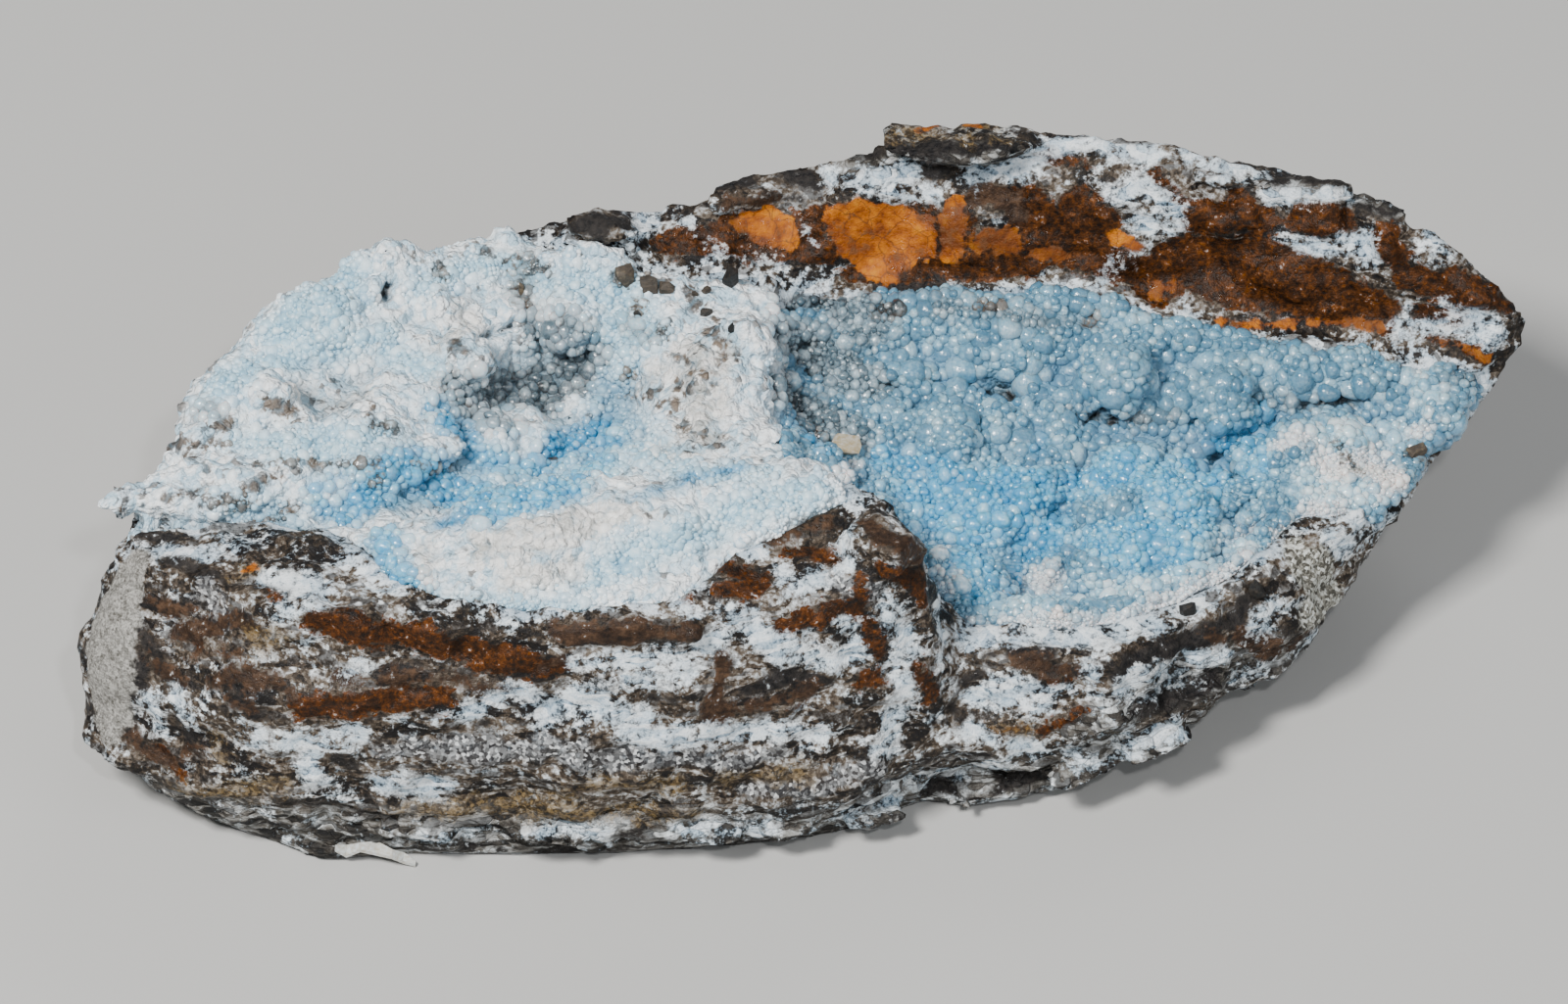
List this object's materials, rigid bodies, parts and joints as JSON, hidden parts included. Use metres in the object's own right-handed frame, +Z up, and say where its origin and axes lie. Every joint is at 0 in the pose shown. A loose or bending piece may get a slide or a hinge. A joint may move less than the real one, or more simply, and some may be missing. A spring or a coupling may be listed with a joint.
{
  "type": "allophane mineral specimen",
  "caption": "Cabinet mineral specimen: a lens-shaped piece of banded host rock with vugs lined by a sky-blue botryoidal allophane crust.",
  "frame": {"origin": "centre of the bounding box, on the resting face", "axes": "+X along the specimen towards its narrow end, +Z up, -Y towards the tall broken front face"},
  "size_m": [0.1634, 0.0842, 0.0456],
  "materials": {
    "host_rock": "broken schist and rusty limonite, streaked with white crust",
    "pale_crust": "fine white to pale blue botryoidal crust, satin to glassy",
    "blue_crust": "glassy translucent sky-blue botryoids"
  },
  "bodies": {
    "root": {"host_rock": "host_rock", "left_vug_crust": "pale_crust", "right_vug_crust": "blue_crust"}
  },
  "joints": []
}
